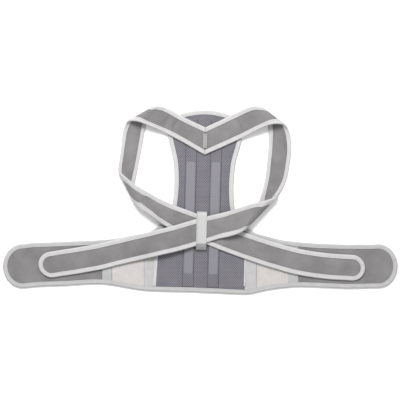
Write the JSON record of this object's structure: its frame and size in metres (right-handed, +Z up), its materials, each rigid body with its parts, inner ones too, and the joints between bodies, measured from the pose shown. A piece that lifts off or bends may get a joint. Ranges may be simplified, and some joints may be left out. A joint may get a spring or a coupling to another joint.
{
  "type": "posture corrector",
  "caption": "Back brace laid flat: mesh back panel with stays, elastic waist belt with fastening wings, shoulder straps folded over and crossed under a keeper.",
  "frame": {"origin": "middle of the footprint, on the surface that the corrector lies on", "axes": "+X along the belt, +Y from the belt towards the shoulder straps, +Z up, out of the outer face"},
  "size_m": [0.88, 0.4194, 0.0281],
  "materials": {
    "air_mesh": "matt three-layer mesh cloth with fine holes",
    "stay_metal": "plain rolled strip",
    "binding_tape": "woven polyester edge tape",
    "belt_tape": "ribbed elastic edge tape",
    "loop_cloth": "brushed loop pile on thin foam",
    "webbing": "flat woven webbing",
    "side_elastic": "shirred elastic cloth",
    "keeper_elastic": "smooth woven elastic"
  },
  "bodies": {
    "root": {"back_panel": "air_mesh", "stay_channel_left": "air_mesh", "stay_channel_right": "air_mesh", "stay_left": "stay_metal", "stay_right": "stay_metal", "panel_binding": "binding_tape", "side_piping_left": "binding_tape", "side_piping_right": "binding_tape", "strap_binding_left": "binding_tape", "strap_binding_right": "binding_tape", "vee_seam_strip": "binding_tape", "belt_binding": "belt_tape", "wing_left": "loop_cloth", "wing_right": "loop_cloth", "strap_left": "loop_cloth", "strap_right": "loop_cloth", "outer_webbing_left": "webbing", "outer_webbing_right": "webbing", "inner_webbing_left": "webbing", "inner_webbing_right": "webbing", "elastic_left": "side_elastic", "elastic_right": "side_elastic", "strap_keeper": "keeper_elastic"}
  },
  "joints": []
}
